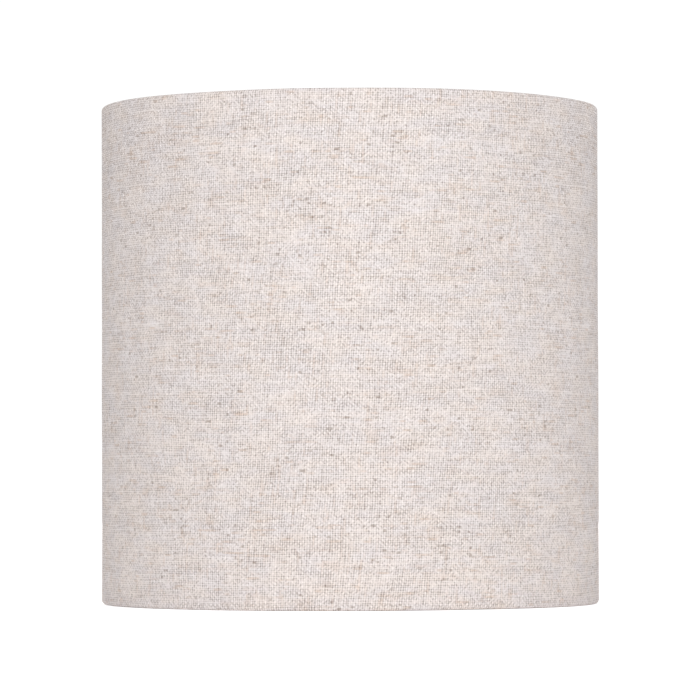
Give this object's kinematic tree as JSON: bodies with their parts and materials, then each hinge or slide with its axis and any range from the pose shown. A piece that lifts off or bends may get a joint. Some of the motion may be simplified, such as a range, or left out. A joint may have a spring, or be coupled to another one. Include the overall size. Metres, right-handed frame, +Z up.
{
  "type": "lamp shade",
  "caption": "Straight drum lamp shade in flecked linen on a stiff white panel, rolled over wire rings, with an arm-carried fitting ring and a loose plastic reducer.",
  "frame": {"origin": "centre of the bottom rim, on the surface that the shade stands on", "axes": "+Z up the drum's axis towards the end with the fitting ring; +Y to the back, towards the first arm; the overlap seam is at the back, 45 degrees round from +Y towards -X"},
  "size_m": [0.2, 0.2, 0.2],
  "materials": {
    "linen": "matt plain-weave linen blend, off-white with tan and grey flecks",
    "panel": "satin white translucent sheet",
    "adhesive_tape": "thin double-sided tape",
    "coated_steel": "white powder coat over steel wire and strip",
    "reducer_plastic": "moulded white plastic, slight gloss"
  },
  "bodies": {
    "shade": {"fabric_cover": "linen", "inner_panel": "panel", "seam_tape": "adhesive_tape", "top_ring": "coated_steel", "bottom_ring": "coated_steel", "top_ring_tape": "adhesive_tape", "bottom_ring_tape": "adhesive_tape", "carrier_ring": "coated_steel", "carrier_arm_1": "coated_steel", "carrier_arm_2": "coated_steel", "carrier_arm_3": "coated_steel"},
    "reducer": {"reducer_ring": "reducer_plastic"}
  },
  "joints": [
    {"name": "reducer_lift", "type": "slide", "parent": "shade", "child": "reducer", "axis": [0, 0, 1], "range_m": [0, 0.045]}
  ]
}
